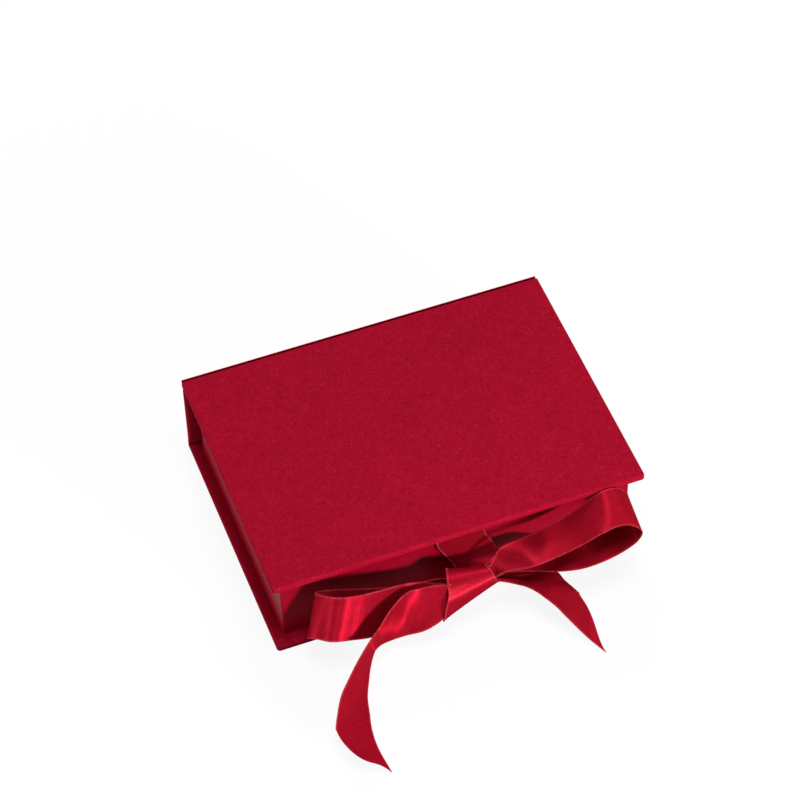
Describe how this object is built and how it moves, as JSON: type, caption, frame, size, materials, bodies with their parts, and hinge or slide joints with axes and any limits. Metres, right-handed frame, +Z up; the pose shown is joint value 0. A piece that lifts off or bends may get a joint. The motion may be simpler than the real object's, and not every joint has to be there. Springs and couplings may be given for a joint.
{
  "type": "storage box",
  "caption": "Cloth-covered board keepsake box: a lined tray in a case of lid, spine and base on cloth hinges, tied shut at the front with a satin ribbon bow.",
  "frame": {"origin": "centre of the underside of the base, on the surface the box stands on", "axes": "+Z up, +X along the length to the right seen from the bow, +Y from the bow towards the spine"},
  "size_m": [0.17, 0.2022, 0.044],
  "materials": {
    "book_cloth": "matte plain-weave book cloth",
    "covering_paper": "matte woven-look covering paper",
    "lining_paper": "matte uncoated paper",
    "grey_board": "uncoated grey pulp board",
    "satin_ribbon": "satin-woven ribbon with a lengthwise sheen"
  },
  "bodies": {
    "base": {"base_board": "grey_board", "base_cover_cloth": "book_cloth", "base_infill": "grey_board", "lower_hinge_cloth": "book_cloth", "tray_floor_board": "grey_board", "tray_front_wall": "grey_board", "tray_back_wall": "grey_board", "tray_left_wall": "grey_board", "tray_right_wall": "grey_board", "tray_wrap": "covering_paper", "tray_wall_lining": "lining_paper", "tray_floor_lining": "lining_paper", "lower_ribbon": "satin_ribbon", "bow_knot": "satin_ribbon", "bow_left_loop": "satin_ribbon", "bow_right_loop": "satin_ribbon", "bow_left_tail": "satin_ribbon", "bow_right_tail": "satin_ribbon"},
    "spine": {"spine_board": "grey_board", "spine_cover_cloth": "book_cloth", "spine_lining": "book_cloth"},
    "lid": {"lid_board": "grey_board", "lid_cover_cloth": "book_cloth", "lid_infill": "grey_board", "lid_lining": "lining_paper", "upper_hinge_cloth": "book_cloth", "upper_ribbon": "satin_ribbon"}
  },
  "joints": [
    {"name": "spine_hinge", "type": "hinge", "parent": "base", "child": "spine", "pos_m": [0, 0.0605, 0.0015], "axis": [-1, 0, 0], "range_deg": [0, 90]},
    {"name": "lid_hinge", "type": "hinge", "parent": "spine", "child": "lid", "pos_m": [0, 0.0605, 0.0425], "axis": [-1, 0, 0], "range_deg": [0, 90]}
  ]
}
